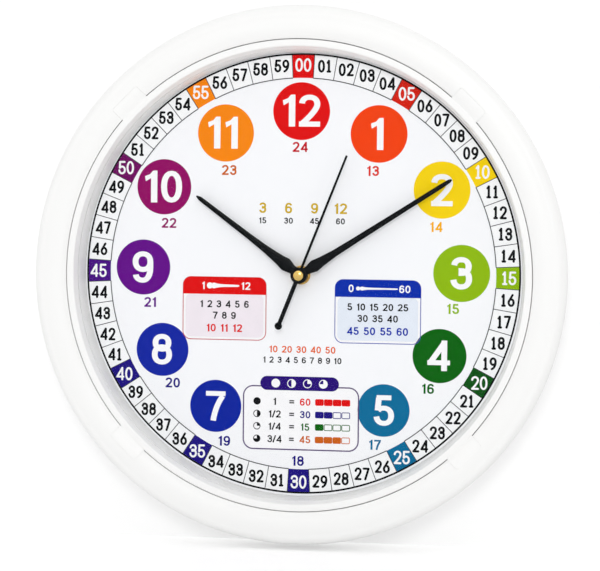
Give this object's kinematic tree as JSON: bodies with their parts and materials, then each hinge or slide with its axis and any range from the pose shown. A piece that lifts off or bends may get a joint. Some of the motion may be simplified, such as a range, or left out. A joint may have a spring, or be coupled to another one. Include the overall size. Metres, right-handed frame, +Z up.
{
  "type": "wall clock",
  "caption": "Round white wall clock with a teaching dial, a clipped-in lens ring, three hands, a geared battery movement and a keyhole hanger.",
  "frame": {"origin": "where the wall hook bears in the keyhole's slot, on the wall plane", "axes": "+Z up the wall, +Y into the wall, dial faces -Y, +X to the reader's right"},
  "size_m": [0.305, 0.0404, 0.305],
  "materials": {
    "white_plastic": "smooth moulded white",
    "clear_lens": "clear moulded sheet",
    "dial_card": "printed card, satin",
    "hand_black": "glossy black",
    "brass": "bright",
    "steel": "bare",
    "magnet_grey": "sintered, plain",
    "movement_grey": "fine moulded texture",
    "gear_plastic": "natural moulding",
    "rubber": "plain",
    "copper_wire": "enamelled copper winding",
    "board_green": "solder mask",
    "cell_sleeve": "plain dark sleeve"
  },
  "bodies": {
    "case": {"case_shell": "white_plastic", "dial_plate": "white_plastic", "wall_hanger": "steel", "lens_ring": "white_plastic", "front_lens": "clear_lens", "dial_sheet": "dial_card", "movement_case": "movement_grey", "movement_cover": "movement_grey", "gear_plate": "gear_plastic", "circuit_board": "board_green", "quartz_crystal": "steel", "positive_contact": "steel", "negative_contact": "steel", "stator": "steel", "coil_core": "steel", "coil_bobbin": "gear_plastic", "coil_winding": "copper_wire", "rubber_washer": "rubber", "threaded_bushing": "brass", "brass_washer": "brass", "hex_nut": "brass"},
    "battery": {"battery_cell": "cell_sleeve"},
    "seconds": {"second_wheel": "gear_plastic", "second_arbor": "steel", "second_hand": "hand_black", "second_hand_cap": "brass"},
    "rotor": {"rotor_pinion": "gear_plastic", "rotor_magnet": "magnet_grey"},
    "intermediate": {"intermediate_wheel": "gear_plastic"},
    "third": {"third_wheel": "gear_plastic"},
    "centre": {"centre_wheel": "gear_plastic"},
    "minutes": {"minute_tube": "brass", "minute_hand": "hand_black", "clutch_spring": "steel"},
    "minute_work": {"minute_wheel": "gear_plastic"},
    "hours": {"hour_wheel": "gear_plastic", "hour_hand": "hand_black"},
    "setting": {"setting_knob": "gear_plastic"}
  },
  "joints": [
    {"name": "second_hand_turn", "type": "hinge", "parent": "case", "child": "seconds", "pos_m": [0, -0.02, -0.124], "axis": [0, 1, 0], "continuous": true},
    {"name": "minute_hand_turn", "type": "hinge", "parent": "case", "child": "minutes", "pos_m": [0, -0.02, -0.124], "axis": [0, 1, 0], "continuous": true},
    {"name": "hour_hand_turn", "type": "hinge", "parent": "case", "child": "hours", "pos_m": [0, -0.02, -0.124], "axis": [0, 1, 0], "continuous": true},
    {"name": "minute_wheel_turn", "type": "hinge", "parent": "case", "child": "minute_work", "pos_m": [0.0075, -0.02, -0.124], "axis": [0, 1, 0], "continuous": true},
    {"name": "setting_knob_turn", "type": "hinge", "parent": "case", "child": "setting", "pos_m": [0.01455, -0.02, -0.12657], "axis": [0, 1, 0], "continuous": true},
    {"name": "rotor_turn", "type": "hinge", "parent": "case", "child": "rotor", "pos_m": [-0.01259, -0.02, -0.12482], "axis": [0, 1, 0], "continuous": true},
    {"name": "intermediate_wheel_turn", "type": "hinge", "parent": "case", "child": "intermediate", "pos_m": [-0.00909, -0.02, -0.11875], "axis": [0, 1, 0], "continuous": true},
    {"name": "third_wheel_turn", "type": "hinge", "parent": "case", "child": "third", "pos_m": [0.00495, -0.02, -0.11543], "axis": [0, 1, 0], "continuous": true},
    {"name": "centre_wheel_turn", "type": "hinge", "parent": "case", "child": "centre", "pos_m": [0, -0.02, -0.124], "axis": [0, 1, 0], "continuous": true},
    {"name": "battery_lift", "type": "slide", "parent": "case", "child": "battery", "axis": [0, 1, 0], "range_m": [0, 0.018]}
  ],
  "couplings": [
    {"joint": "rotor_turn", "follows": "second_hand_turn", "ratio": 30},
    {"joint": "intermediate_wheel_turn", "follows": "second_hand_turn", "ratio": -5},
    {"joint": "third_wheel_turn", "follows": "second_hand_turn", "ratio": -0.13333},
    {"joint": "centre_wheel_turn", "follows": "second_hand_turn", "ratio": 0.016667},
    {"joint": "hour_hand_turn", "follows": "minute_hand_turn", "ratio": 0.083333},
    {"joint": "minute_wheel_turn", "follows": "minute_hand_turn", "ratio": -0.33333},
    {"joint": "setting_knob_turn", "follows": "minute_hand_turn", "ratio": 1}
  ]
}
